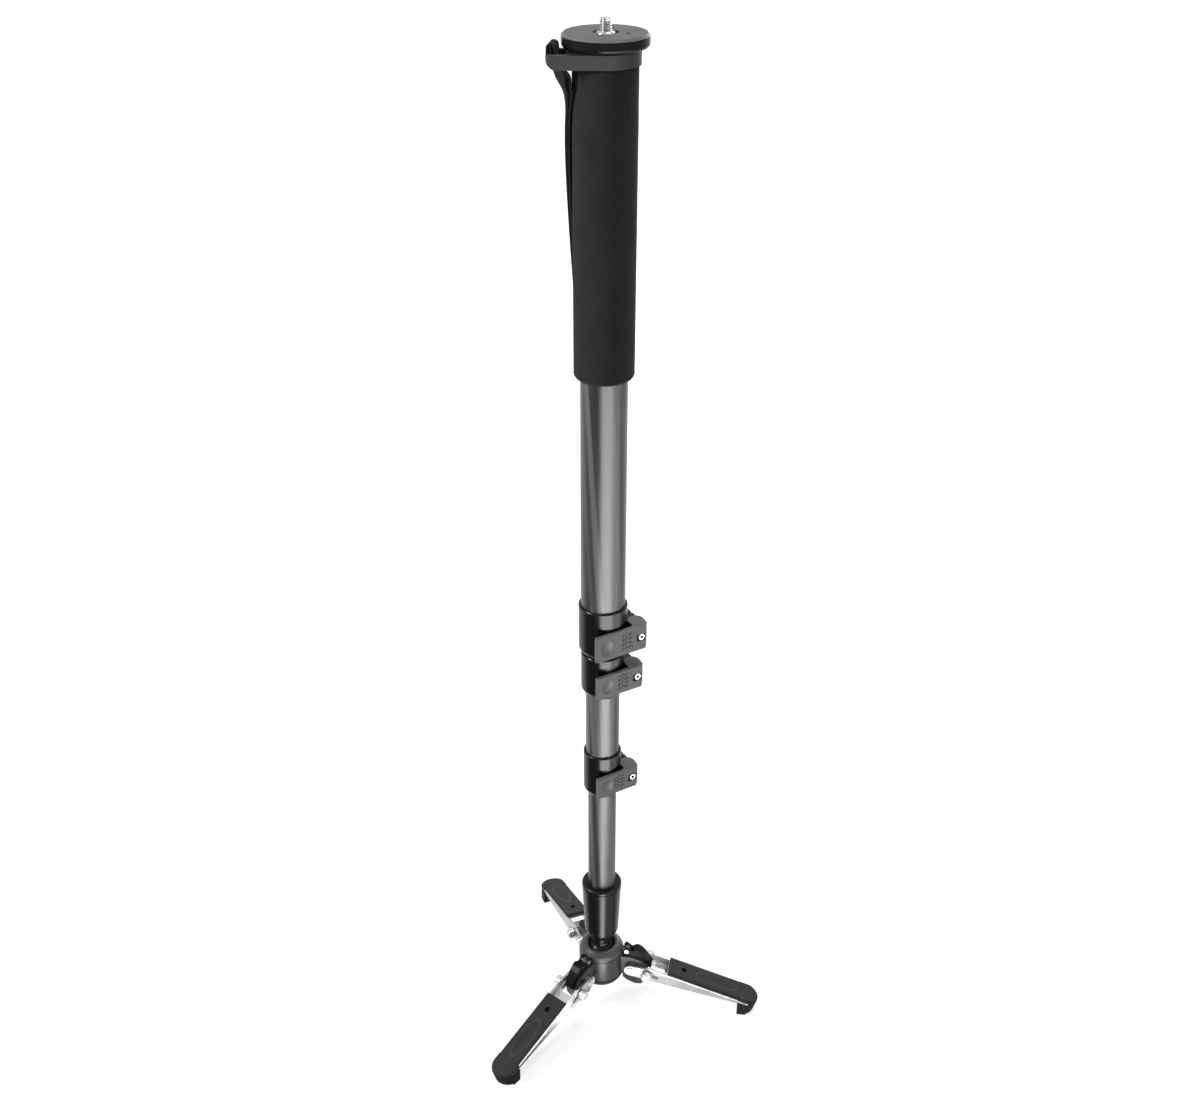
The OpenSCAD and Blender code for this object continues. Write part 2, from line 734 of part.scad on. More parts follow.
// a foot's own frame: x runs along the open foot from its pivot, z stands on its top face
module along_foot(k) {
  at_foot(k)
  translate([pivot_r, 0, pivot_z])
  rotate([0, foot_slope, 0])
  children();
}

cheek_r = 4.2;
cheek_arc = [for (a = [270:-10:90]) cheek_r * [cos(a), sin(a)]];
slot_x = 11.9;
slot_z = 2.3;
slot_half = 1.5;
mouth_x = 25.7;
pad_x = 26;
tip_edge = 2;
web_z = channel_top - channel_t;

module channel_section() {
  edge = 1.4;
  difference() {
    union() {
      translate([-channel_w / 2, -12]) square([channel_w, 12 + channel_top - edge]);
      translate([-channel_w / 2 + edge, 0]) square([channel_w - 2 * edge, channel_top]);
      for (side = [-1, 1])
        translate([side * (channel_w / 2 - edge), channel_top - edge]) circle(r = edge, $fn = 32);
    }
    translate([-channel_w / 2 + channel_t, -13]) square([channel_w - 2 * channel_t, 13 + web_z]);
  }
}

module foot_channel(k) {
  color([0.75, 0.76, 0.77])
  along_foot(k)
  difference() {
    intersection() {
      translate([-10, 0, 0])
      rotate([90, 0, 90])
      linear_extrude(height = channel_l + 10)
      channel_section();
      upright(channel_w + 2)
      polygon(concat(cheek_arc, [[12, 7.3], [16.5, channel_top + 1], [channel_l, channel_top + 1],
        [channel_l, web_z - 0.4], [16, -2.6]]));
    }
    // open mouth between the cheeks, where the lug and the latch pass
    translate([-10, -channel_w / 2 + channel_t, -15]) cube([10 + mouth_x, channel_w - 2 * channel_t, 35]);
    // slots of the lock slider, and the pivot holes
    upright(channel_w + 4)
    union() {
      translate([slot_x, slot_z - slot_half]) square([slider_travel, 2 * slot_half]);
      translate([slot_x, slot_z]) circle(r = slot_half, $fn = 32);
      translate([slot_x + slider_travel, slot_z]) circle(r = slot_half, $fn = 32);
      circle(r = pivot_pin_r + slide_fit, $fn = 48);
    }
  }
}

module foot_pad(k) {
  half = channel_w / 2 - 0.2;
  top = channel_top + pad_t;
  tip_s = channel_l - 2.9;
  edge_y = tip_r - tip_edge;
  heel_x = pivot_r + channel_l * cos(foot_slope) - 5.6;
  color([0.22, 0.22, 0.23])
  difference() {
    union() {
      along_foot(k) {
        translate([pad_x, -half, channel_top]) cube([channel_l - pad_x, 2 * half, pad_t - 0.5]);
        translate([pad_x + 0.4, -half + 0.5, channel_top]) cube([channel_l - pad_x, 2 * half - 1, pad_t]);
        // round nose square to the pad, its upper edge rolled over
        intersection() {
          translate([tip_s, 0, -14]) cylinder(r = tip_r, h = 14 + top - tip_edge, $fn = 96);
          translate([tip_s, -20, -20]) cube([20, 40, 40]);
        }
        intersection() {
          translate([tip_s, 0, top - tip_edge])
          rotate_extrude($fn = 96)
          union() {
            square([edge_y, tip_edge]);
            translate([edge_y, 0]) circle(r = tip_edge, $fn = 48);
          }
          translate([tip_s, -20, channel_top]) cube([20, 40, 20]);
        }
        // the same edge along the last of the pad
        translate([tip_s - 5, -edge_y, channel_top]) cube([5, 2 * edge_y, pad_t]);
        intersection() {
          for (side = [-1, 1])
            translate([tip_s - 5, side * edge_y, top - tip_edge])
            rotate([0, 90, 0])
            cylinder(r = tip_edge, h = 5, $fn = 48);
          translate([tip_s - 6, -20, channel_top]) cube([20, 40, 20]);
        }
      }
      // heel under the channel's end
      at_foot(k)
      translate([heel_x, -tip_r, 0]) cube([6.6, 2 * tip_r, 10]);
    }
    // the nose is cut off level at the floor
    translate([-200, -200, -80]) cube([400, 400, 80]);
    along_foot(k) {
      // dark recess near the hub, and the long shallow dish
      translate([pad_x + 11, 0, top - 1.4]) cylinder(r = 1.9, h = 5, $fn = 32);
      translate([pad_x + 36, 0, top])
      rotate([-90, 0, -90])
      dimple(4.6, 15.5, 0.9);
      // room for the channel's end
      intersection() {
        translate([channel_l - 28, -20, -10]) cube([28 + glue, 40, 10 + channel_top]);
        upright(40)
        polygon([[0, channel_top], [channel_l + 1, channel_top], [channel_l + 1, web_z - 0.5],
          [16, -2.6 - glue], [0, -20]]);
      }
    }
  }
}

module foot_slider(k) {
  arm_t = 1.1;
  arm_y = lug_w / 2 + 0.4;
  color([0.72, 0.72, 0.74])
  along_foot(k)
  union() {
    for (side = [-1, 1])
      scale([1, side, 1]) {
        translate([slot_x - 2.4, arm_y, slot_z - 1.8]) cube([18, arm_t, 3.6]);
        translate([slot_x, arm_y + 0.2, slot_z])
        rotate([-90, 0, 0])
        cylinder(r = slot_half - slide_fit, h = channel_w / 2 - arm_y + 1, $fn = 32);
        translate([slot_x, channel_w / 2 + clear, slot_z])
        rotate([-90, 0, 0])
        rotate_extrude($fn = 48)
        polygon([[0, 0], [knob_r - 0.5, 0], [knob_r, 0.5], [knob_r, 3.9], [knob_r - 0.7, 4.6], [0, 4.6]]);
      }
    translate([slot_x + 5.6, -arm_y - arm_t, slot_z - 1.8]) cube([10, 2 * (arm_y + arm_t), 2]);
  }
}

module foot_latch(k) {
  color([0.05, 0.05, 0.06])
  at_foot(k)
  difference() {
    upright(latch_w)
    polygon([[17, 40.2], [16.5, 41.4], [16.5, 44.6], [17.1, 45.7], [18.3, 45.9], [19.8, 45.1], [21.3, 43.5],
      [22.7, 43], [24.2, 44.1], [25.4, 44.8], [26.8, 44.8], [28.6, 43.9], [31.3, 41.3], [33.7, 37.9],
      [35.7, 34.8], [37.2, 31.8], [37, 30.3], [36, 29.9], [35.3, 30.4], [34.1, 33.3], [31.1, 36.2],
      [25.6, 38.5], [21.7, 39.4]]);
    // slot for the hub's tongue
    translate([10, -tongue_w / 2 - clear, 30]) cube([13, tongue_w + 2 * clear, 20]);
    translate([latch_pin_x, 0, latch_pin_z])
    rotate([90, 0, 0])
    cylinder(r = latch_pin_r + slide_fit, h = 30, center = true, $fn = 48);
  }
}

module foot_pivots() {
  color([0.82, 0.82, 0.84])
  for (k = [1:3])
    at_foot(k)
    translate([pivot_r, 0, pivot_z])
    rotate([90, 0, 0])
    union() {
      cylinder(r = pivot_pin_r, h = channel_w + 0.2, center = true, $fn = 48);
      for (side = [-1, 1])
        translate([0, 0, side * (channel_w / 2 + 0.5)])
        cylinder(r = pivot_pin_r + 0.8, h = 0.8, center = true, $fn = 48);
    }
}

module foot_washers() {
  gap = channel_w / 2 - channel_t - lug_w / 2;
  color([0.7, 0.7, 0.72])
  for (k = [1:3], side = [-1, 1])
    at_foot(k)
    translate([pivot_r, side * (lug_w / 2 + gap / 2), pivot_z])
    rotate([90, 0, 0])
    difference() {
      cylinder(r = 4, h = gap - 2 * slide_fit, center = true, $fn = 48);
      cylinder(r = pivot_pin_r + glue, h = 10, center = true, $fn = 48);
    }
}

module latch_pins() {
  color([0.82, 0.82, 0.84])
  for (k = [1:3])
    at_foot(k)
    translate([latch_pin_x, 0, latch_pin_z])
    rotate([90, 0, 0])
    cylinder(r = latch_pin_r, h = latch_w + 0.6, center = true, $fn = 48);
}

hub();
base_gasket();
base_cap();
ball_seat_lower();
ball_seat_upper();
ball_stem();
stem_retainer();
stem_screw();
base_sleeve();
lower_tube(4);  // tube_4
guide(4);  // tube_4_guide
collar(3);  // collar_3
shim(3);  // collar_3_shim
lever(3);  // lever_3
lever_pin(3);  // lever_3_pin
lever_bolt(3);  // lever_3_bolt
lever_nut(3);  // lever_3_nut
lower_tube(3);  // tube_3
guide(3);  // tube_3_guide
collar(2);  // collar_2
shim(2);  // collar_2_shim
lever(2);  // lever_2
lever_pin(2);  // lever_2_pin
lever_bolt(2);  // lever_2_bolt
lever_nut(2);  // lever_2_nut
lower_tube(2);  // tube_2
guide(2);  // tube_2_guide
collar(1);  // collar_1
shim(1);  // collar_1_shim
lever(1);  // lever_1
lever_pin(1);  // lever_1_pin
lever_bolt(1);  // lever_1_bolt
lever_nut(1);  // lever_1_nut
tube_1();
grip();
strap_bracket();
strap_pin();
wrist_strap();
top_plate();
camera_screw();
plate_set_screw();
foot_channel(1);  // foot_1_channel
foot_pad(1);  // foot_1_pad
foot_slider(1);  // foot_1_slider
foot_latch(1);  // foot_1_latch
foot_channel(2);  // foot_2_channel
foot_pad(2);  // foot_2_pad
foot_slider(2);  // foot_2_slider
foot_latch(2);  // foot_2_latch
foot_channel(3);  // foot_3_channel
foot_pad(3);  // foot_3_pad
foot_slider(3);  // foot_3_slider
foot_latch(3);  // foot_3_latch
foot_pivots();
foot_washers();
latch_pins();
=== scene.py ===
"""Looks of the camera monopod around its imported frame. Metres; the origin is the floor point under the column."""

import json
import math

import bmesh
import bpy
from mathutils import Matrix, Vector, noise


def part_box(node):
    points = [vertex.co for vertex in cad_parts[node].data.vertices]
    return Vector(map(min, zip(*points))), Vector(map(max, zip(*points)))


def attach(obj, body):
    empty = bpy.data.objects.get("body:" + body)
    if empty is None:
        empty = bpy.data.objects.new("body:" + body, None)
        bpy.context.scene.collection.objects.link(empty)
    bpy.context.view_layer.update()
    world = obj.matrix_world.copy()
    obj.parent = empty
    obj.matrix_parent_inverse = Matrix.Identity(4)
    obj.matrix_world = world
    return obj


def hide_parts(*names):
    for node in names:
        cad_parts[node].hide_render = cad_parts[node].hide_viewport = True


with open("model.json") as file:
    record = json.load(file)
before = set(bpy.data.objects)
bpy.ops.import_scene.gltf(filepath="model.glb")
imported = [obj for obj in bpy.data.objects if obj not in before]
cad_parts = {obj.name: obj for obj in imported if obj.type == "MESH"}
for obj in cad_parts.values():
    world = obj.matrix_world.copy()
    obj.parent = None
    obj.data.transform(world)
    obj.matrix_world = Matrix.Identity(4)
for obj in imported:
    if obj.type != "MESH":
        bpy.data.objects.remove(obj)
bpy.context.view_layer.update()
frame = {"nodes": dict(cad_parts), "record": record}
nodes = frame["nodes"]
MM = 0.001
CAMERA_TURN = 8.62  # degrees round the column
PHOTO_FOCAL, PHOTO_WIDTH = 1501.1, 1200  # pixels
BRACKET_TURN = math.radians(188.6)
LOCK_TURN = math.radians(39.6)
FOOT_SLOPE = math.radians(17.7)
FOOT_PIVOT = (22.2 * MM, 0.0, 29.3 * MM)
FEET = LOCKS = (1, 2, 3)


def link(obj):
    bpy.context.scene.collection.objects.link(obj)
    return obj


def foot_turn(foot):
    return math.radians(120 * (foot - 1))


def place_camera():
    """The viewpoint that the three feet and the column's rings give."""
    pitch, yaw, roll = (math.radians(a) for a in (29.511, -0.1443, 0.1937))
    right = Vector((math.cos(yaw), -math.sin(yaw), 0))
    ahead = Vector((math.sin(yaw), math.cos(yaw), 0))
    up = Vector((0, 0, 1))
    forward = ahead * math.cos(pitch) - up * math.sin(pitch)
    down = -up * math.cos(pitch) - ahead * math.sin(pitch)
    image_right = right * math.cos(roll) - down * math.sin(roll)
    image_down = right * math.sin(roll) + down * math.cos(roll)
    turn = Matrix.Rotation(math.radians(CAMERA_TURN), 3, "Z")
    columns = [turn @ v for v in (image_right, -image_down, -forward)]
    rotation = Matrix(columns).transposed().to_4x4()
    eye = turn @ Vector((0, -0.8055, 0.8279))
    data = bpy.data.cameras.new("photo_camera")
    data.sensor_fit = "HORIZONTAL"
    data.sensor_width = 36
    data.lens = data.sensor_width * PHOTO_FOCAL / PHOTO_WIDTH
    data.clip_start = 0.01
    camera = link(bpy.data.objects.new("photo_camera", data))
    camera.matrix_world = Matrix.Translation(eye) @ rotation
    bpy.context.scene.camera = camera


place_camera()


class Finish:
    """A node material that is put together step by step."""

    def __init__(self, name, roughness=0.5, metallic=0.0, **surface):
        self.material = bpy.data.materials.new(name)
        self.material.use_nodes = True
        self.tree = self.material.node_tree
        self.surface = self.tree.nodes["Principled BSDF"]
        self.put("Roughness", roughness)
        self.put("Metallic", metallic)
        for key, value in surface.items():
            self.put(key.replace("_", " ").title().replace("Ior", "IOR"), value)
        self.place = self.add("ShaderNodeTexCoord").outputs["Object"]

    def put(self, socket, value, node=None):
        target = (node or self.surface).inputs[socket]
        if isinstance(value, bpy.types.NodeSocket):
            self.tree.links.new(value, target)
        else:
            target.default_value = value

    def add(self, kind, inputs=None, **settings):
        made = self.tree.nodes.new(kind)
        for key, value in settings.items():
            setattr(made, key, value)
        for key, value in (inputs or {}).items():
            self.put(key, value, made)
        return made

    def maths(self, operation, a, b=0.0):
        return self.add("ShaderNodeMath", {0: a, 1: b}, operation=operation).outputs[0]

    def weighed(self, a, share, b):
        return self.maths("ADD", self.maths("MULTIPLY", a, share), self.maths("MULTIPLY", b, 1 - share))

    def reach(self, a, b):
        return self.maths("SQRT", self.maths("ADD", self.maths("MULTIPLY", a, a), self.maths("MULTIPLY", b, b)))

    def nearest(self, value, last):
        """The whole number next to the value, from 0 to the last one."""
        return self.maths("MINIMUM", self.maths("MAXIMUM", self.maths("ROUND", value), 0.0), last)

    def split(self, place=None):
        return self.add("ShaderNodeSeparateXYZ", {"Vector": place or self.place}).outputs

    def turned(self, angle, axis="Z_AXIS", place=None, centre=(0, 0, 0)):
        made = self.add("ShaderNodeVectorRotate",
                        {"Vector": place or self.place, "Center": centre, "Angle": angle}, rotation_type=axis)
        return made.outputs[0]

    def colour(self):
        return self.surface.inputs["Base Color"].links[0].from_socket

    def stretched(self, scale, place=None):
        made = self.add("ShaderNodeVectorMath", {0: place or self.place, 1: scale}, operation="MULTIPLY")
        return made.outputs[0]

    def speckle(self, scale, detail=2.0, place=None, roughness=0.5):
        made = self.add("ShaderNodeTexNoise", {"Vector": place or self.place, "Scale": scale,
                                               "Detail": detail, "Roughness": roughness})
        return made.outputs["Fac"]

    def ramp(self, value, stops):
        made = self.add("ShaderNodeValToRGB", {"Fac": value})
        band = made.color_ramp
        while len(band.elements) < len(stops):
            band.elements.new(0.5)
        for element, (at, grey) in zip(band.elements, stops):
            element.position = at
            element.color = (*tone(grey), 1)
        return made.outputs["Color"]

    def ranged(self, value, low, high):
        made = self.add("ShaderNodeMapRange", {"Value": value, "To Min": low, "To Max": high})
        return made.outputs["Result"]

    def mixed(self, share, a, b):
        made = self.add("ShaderNodeMix", {"Factor": share, 6: a, 7: b}, data_type="RGBA")
        return made.outputs[2]

    def bump(self, height, depth, strength=1.0):
        made = self.add("ShaderNodeBump", {"Height": height, "Distance": depth, "Strength": strength})
        self.put("Normal", made.outputs["Normal"])


def tone(grey):
    """A neutral tone, a trace cooler than grey, or the three numbers that are given."""
    return grey if hasattr(grey, "__len__") else (grey * 0.985, grey * 0.99, grey * 1.02)


def blasted(name, dark, light, grain, depth, **surface):
    """An even finish with a fine grain: blasted metal, moulded plastic, rubber."""
    made = Finish(name, **surface)
    fine = made.speckle(grain, 3)
    broad = made.speckle(grain / 40, 2)
    made.put("Base Color", made.ramp(made.weighed(fine, 0.6, broad), [(0.35, dark), (0.65, light)]))
    rough = surface.get("roughness", 0.5)
    made.put("Roughness", made.ranged(broad, rough - 0.06, rough + 0.06))
    made.bump(fine, depth)
    return made


def carbon_tube():
    """Unidirectional carbon: long soft streaks that wind slowly round the tube."""
    made = Finish("carbon_tube", roughness=0.36, specular_ior_level=0.28)
    twist = made.maths("MULTIPLY", made.split()["Z"], 5.0)
    along = made.stretched((1, 1, 0.012), made.turned(twist))
    wide = made.speckle(170, 1.5, along)
    fine = made.speckle(1200, 1.5, along)
    streak = made.weighed(wide, 0.8, fine)
    made.put("Base Color", made.ramp(streak, [(0.38, 0.008), (0.47, 0.026), (0.55, 0.06), (0.64, 0.12)]))
    made.put("Roughness", made.ranged(streak, 0.2, 0.52))
    made.bump(fine, 0.00001, 0.4)
    return made


def brushed(name, dark, light, turn, slope, roughness):
    """Sheet metal with a fine grain along the foot."""
    made = Finish(name, metallic=1.0)
    flat = made.turned(-slope, "Y_AXIS", made.turned(-turn))
    grain = made.speckle(2600, 2, made.stretched((0.04, 1, 1), flat))
    cloud = made.speckle(90, 2)
    made.put("Base Color", made.ramp(cloud, [(0.3, dark), (0.7, light)]))
    made.put("Roughness", made.ranged(grain, roughness - 0.07, roughness + 0.09))
    made.bump(grain, 0.000012)
    return made


def pad_rubber(foot):
    """Moulded rubber; the recess near the hub is painted near black as shade, and the long dish has a painted
    highlight round its lip.
    """
    made = blasted(f"rubber_{foot}", 0.028, 0.042, 2300, 0.00004, roughness=0.7, specular_ior_level=0.08)
    plain = made.colour()
    place = made.split(made.turned(-FOOT_SLOPE, "Y_AXIS", made.turned(-foot_turn(foot)), FOOT_PIVOT))

    def oval(middle, length, width):
        along = made.maths("DIVIDE", made.maths("SUBTRACT", place["X"], FOOT_PIVOT[0] + middle), length)
        return made.reach(along, made.maths("DIVIDE", place["Y"], width))

    # painted shade: the recess near the hub is coloured near black
    painted_shade_hole = made.maths("LESS_THAN", oval(37 * MM, 1.96 * MM, 1.96 * MM), 1.0)
    # painted highlight: a lighter band round the lip of the dish
    off = made.maths("ABSOLUTE", made.maths("SUBTRACT", oval(62 * MM, 15.6 * MM, 4.7 * MM), 1.0))
    painted_rim_highlight = made.add("ShaderNodeMapRange", {"Value": off, "From Max": 0.12, "To Min": 1.0, "To Max": 0.0},
                   interpolation_type="SMOOTHSTEP")
    painted_highlight = made.mixed(painted_rim_highlight.outputs["Result"], plain, (0.054, 0.055, 0.057, 1))
    made.put("Base Color", made.mixed(painted_shade_hole, painted_highlight, (0.003, 0.003, 0.003, 1)))
    return made


def plate_top():
    """Black side, grey blasted top and a painted highlight on the chamfer band between them."""
    made = Finish("plate_metal", specular_ior_level=0.06)
    height = made.split()["Z"]
    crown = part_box("top_plate")[1].z
    grain = made.speckle(2600, 2)
    top = made.ramp(grain, [(0.3, 0.072), (0.7, 0.11)])
    side = made.ramp(grain, [(0.3, 0.007), (0.7, 0.012)])
    # painted highlight: the chamfer band between top and side is coloured light
    painted_edge_highlight = made.ramp(grain, [(0.3, 0.12), (0.7, 0.17)])
    above = made.maths("GREATER_THAN", height, crown - 1.25 * MM)
    face = made.maths("GREATER_THAN", height, crown - 0.08 * MM)
    made.put("Base Color", made.mixed(face, made.mixed(above, side, painted_edge_highlight), top))
    made.put("Roughness", made.ranged(above, 0.26, 0.5))
    made.bump(grain, 0.00002, 0.6)
    return made


def lock_place(made, lock):
    """Along, out from and up the face of a lock's lever, from beside its pin, and the lever's height."""
    low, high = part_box(f"lever_{lock}")
    collar = (17 - 1.5 * lock) * MM
    middle = Vector((collar + 3.2 * MM, -collar - 1.5 * MM, (low.z + high.z) / 2))
    moved = made.add("ShaderNodeVectorMath", {0: made.turned(-LOCK_TURN), 1: middle}, operation="SUBTRACT")
    place = made.split(moved.outputs[0])
    return place["X"], place["Y"], place["Z"], high.z - low.z


def lever_moulding(lock):
    """Moulded grey plastic, with painted shade round the twelve raised dots and a painted highlight on their tops.
    """
    made = blasted(f"lever_plastic_{lock}", 0.1, 0.132, 2600, 0.00003, roughness=0.45, specular_ior_level=0.13)
    plain = made.colour()
    along, out, up, height = lock_place(made, lock)
    # three columns of four dots, the middle one a little higher
    first, step, rise, shift = 13.6 * MM, 2.6 * MM, 0.18 * height, 0.7 * MM
    column = made.maths("DIVIDE", made.maths("ADD", along, first), step)
    near = made.nearest(column, 2.0)
    side = made.maths("MULTIPLY", made.maths("SUBTRACT", column, near), step)
    inner = made.maths("SUBTRACT", 1.0, made.maths("ABSOLUTE", made.maths("SUBTRACT", near, 1.0)))
    row = made.maths("DIVIDE", made.maths("SUBTRACT", up, made.maths("MULTIPLY", inner, shift)), rise)
    row = made.maths("ADD", row, 1.5)
    off = made.maths("MULTIPLY", made.maths("SUBTRACT", row, made.nearest(row, 3.0)), rise)
    away = made.maths("DIVIDE", made.reach(side, off), 2 * MM)
    front = made.maths("LESS_THAN", out, 0.2 * MM)
    # painted shade: a dark ring round each raised dot on the front face
    painted_shade = made.ramp(away, [(0.3, 0.0), (0.42, 1.0), (0.55, 1.0), (0.7, 0.0)])
    # painted highlight: the tops of the raised dots are coloured pale
    painted_highlight = made.ramp(away, [(0.15, 1.0), (0.3, 0.0)])
    with_painted_shade = made.mixed(made.maths("MULTIPLY", front, painted_shade), plain, (0.008, 0.008, 0.009, 1))
    made.put("Base Color", made.mixed(made.maths("MULTIPLY", front, painted_highlight), with_painted_shade, (0.34, 0.34, 0.35, 1)))
    return made


def bolt_steel(lock):
    """A bright bolt end whose socket is painted near black as shade."""
    made = Finish(f"bolt_steel_{lock}", roughness=0.3, metallic=1.0)
    along, _, up, _ = lock_place(made, lock)
    grain = made.ramp(made.speckle(900, 3), [(0.3, 0.4), (0.7, 0.52)])
    # painted shade: the socket in the bolt's end is coloured near black
    socket = made.maths("LESS_THAN", made.reach(along, up), 1.2 * MM)
    made.put("Base Color", made.mixed(socket, grain, (0.012, 0.012, 0.012, 1)))
    return made


def turned_steel(name, tone_low, tone_high, roughness):
    """Bare turned steel, a little clouded."""
    made = Finish(name, metallic=1.0)
    cloud = made.speckle(700, 3)
    made.put("Base Color", made.ramp(cloud, [(0.3, tone_low), (0.7, tone_high)]))
    made.put("Roughness", made.ranged(made.speckle(3500, 2), roughness - 0.06, roughness + 0.08))
    made.bump(cloud, 0.000006, 0.5)
    return made


def foam():
    """Matt closed-cell foam."""
    made = Finish("foam", roughness=0.95, specular_ior_level=0.05, sheen_weight=0.03, sheen_roughness=0.6)
    cells = made.add("ShaderNodeTexVoronoi", {"Vector": made.place, "Scale": 2300.0}).outputs["Distance"]
    dust = made.speckle(900, 4)
    cloud = made.speckle(45, 3)
    made.put("Base Color", made.ramp(made.weighed(dust, 0.55, cloud), [(0.32, 0.016), (0.68, 0.028)]))
    made.bump(made.maths("ADD", cells, dust), 0.00005, 0.7)
    return made


def webbing():
    """Ribbed black webbing, on its own map: u across, v along, both in metres."""
    made = Finish("webbing", roughness=0.85, specular_ior_level=0.06, sheen_weight=0.03, sheen_roughness=0.5)
    weave = made.split(made.add("ShaderNodeUVMap", uv_map="weave").outputs["UV"])
    pick, end = 0.0011, 0.00068
    picks = made.maths("SINE", made.maths("MULTIPLY", weave["Y"], 2 * math.pi / pick))
    ends = made.maths("SINE", made.maths("MULTIPLY", weave["X"], 2 * math.pi / end))
    cloth = made.maths("MULTIPLY", picks, ends)
    fuzz = made.speckle(4200, 3)
    tint = made.maths("ADD", made.maths("MULTIPLY", cloth, 0.22), fuzz)
    made.put("Base Color", made.ramp(tint, [(0.2, 0.004), (0.5, 0.013), (0.8, 0.032)]))
    made.bump(made.maths("ADD", cloth, made.maths("MULTIPLY", fuzz, 0.6)), 0.00012, 0.8)
    return made


def finishes():
    # tones from dark to light, fineness and depth of the grain, roughness and specular level
    plain = {
        "black_metal": (0.005, 0.008, 1800, 0.000003, 0.26, 0.16),
        "gunmetal": (0.05, 0.07, 2400, 0.00001, 0.36, 0.26),
        "bracket_metal": (0.036, 0.05, 2600, 0.00002, 0.5, 0.12),
        "latch_plastic": (0.005, 0.009, 2200, 0.000015, 0.3, 0.05),
        "inner_plastic": (0.42, 0.5, 1500, 0.00001, 0.45, 0.5),
        "gasket": (0.004, 0.007, 2300, 0.00002, 0.6, 0.2),
    }
    made = {name: blasted(name, *look[:4], roughness=look[4], specular_ior_level=look[5])
            for name, look in plain.items()}
    made["carbon_tube"] = carbon_tube()
    made["plate_metal"] = plate_top()
    made["steel"] = turned_steel("steel", 0.5, 0.66, 0.24)
    made["stud_steel"] = turned_steel("stud_steel", 0.3, 0.44, 0.3)
    made["foam"] = foam()
    made["webbing"] = webbing()
    for foot in FEET:
        made[f"zinc_{foot}"] = brushed(f"zinc_{foot}", 0.34, 0.46, foot_turn(foot), FOOT_SLOPE, 0.32)
        made[f"rubber_{foot}"] = pad_rubber(foot)
    for lock in LOCKS:
        made[f"lever_plastic_{lock}"] = lever_moulding(lock)
        made[f"bolt_steel_{lock}"] = bolt_steel(lock)
    return {name: finish.material for name, finish in made.items()}


FINISH = finishes()


def finish_of(name, slot):
    """The finish of a CAD node. Those of the feet and locks are numbered, because they follow their direction."""
    number = name.partition("_")[2].partition("_")[0]
    if name.endswith("_pad"):
        return f"rubber_{number}"
    if name in ("base_gasket", "plate_set_screw"):
        return "gasket"
    if name.startswith("lever_") and name.endswith("_bolt"):
        return f"bolt_steel_{number}"
    if slot == "lever_plastic":
        return f"lever_plastic_{number}"
    if slot == "zinc_steel":
        return f"zinc_{number}"
    return slot


def dress_nodes():
    slots = {row["node"]: row["material_slot"] for row in frame["record"]["subparts"]}
    for name, obj in nodes.items():
        obj.data.materials.clear()
        obj.data.materials.append(FINISH[finish_of(name, slots[name])])


dress_nodes()


def mesh_piece(name, points, faces, finish):
    """A smooth-shaded piece at the origin, with its place in its mesh."""
    mesh = bpy.data.meshes.new(name)
    mesh.from_pydata([tuple(p) for p in points], [], faces)
    mesh.update()
    for face in mesh.polygons:
        face.use_smooth = True
    mesh.materials.append(FINISH[finish])
    obj = link(bpy.data.objects.new(name, mesh))
    return obj


def outward(mesh):
    work = bmesh.new()
    work.from_mesh(mesh)
    bmesh.ops.recalc_face_normals(work, faces=work.faces)
    work.to_mesh(mesh)
    work.free()


def ring_faces(rows, around, closed_rows=False):
    """Quads of a grid whose rows are rings."""
    faces = []
    for r in range(rows if closed_rows else rows - 1):
        for a in range(around):
            b = (a + 1) % around
            n = (r + 1) % rows
            faces.append((r * around + a, r * around + b, n * around + b, n * around + a))
    return faces


def foam_grip():
    """The foam sleeve: soft rounded ends and a skin that isn't quite even."""
    low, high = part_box("grip")
    z0, z1 = low.z, high.z
    inner, outer = 14.02 * MM, 17.8 * MM
    bottom, top = 2.6 * MM, 1.0 * MM  # radii of the rounded ends
    around, rings = 144, 70
    uneven, lumps = 0.05 * MM, 90
    profile = [(inner, z0)]
    profile += [(outer - bottom + bottom * math.sin(a), z0 + bottom - bottom * math.cos(a))
                for a in (math.radians(11.25 * k) for k in range(9))]
    profile += [(outer, z0 + bottom + (z1 - top - z0 - bottom) * k / rings) for k in range(1, rings)]
    profile += [(outer - top + top * math.cos(a), z1 - top + top * math.sin(a))
                for a in (math.radians(18 * k) for k in range(6))]
    profile += [(inner, z1)]
    points = []
    for radius, z in profile:
        for k in range(around):
            turn = 2 * math.pi * k / around
            here = Vector((radius * math.cos(turn), radius * math.sin(turn), z))
            swell = 0.0
            if radius > inner + MM:
                swell = uneven * noise.noise(here * lumps) - uneven
            points.append(here + Vector((math.cos(turn), math.sin(turn), 0)) * swell)
    obj = mesh_piece("foam_grip", points, ring_faces(len(profile), around, True), "foam")
    outward(obj.data)
    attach(obj, "section_1")
    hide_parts("grip")


# the strap: its width and thickness, then in millimetres its drop, the pin, the loop over the arm and the grip
STRAP_W = 12.0 * MM
STRAP_T = 1.5 * MM
STRAP_LOW = 137.5
PIN_X, PIN_Y, PIN_Z, PIN_GAP = 27.2, 8.4, 667.05, 2.8
LOOP_X, LOOP_Z, LOOP_R, LOOP_TURN = 27.3, 673.5, 1.9, -8.0
GRIP_TOP = 663.0
INNER_R, OUTER_R = 18.66, 20.24


def strap_angle(depth):
    """Where the hanging strap lies on the grip, in degrees from the arm, as in the part's source."""
    return 70.8 - 28.3 * depth ** 0.3


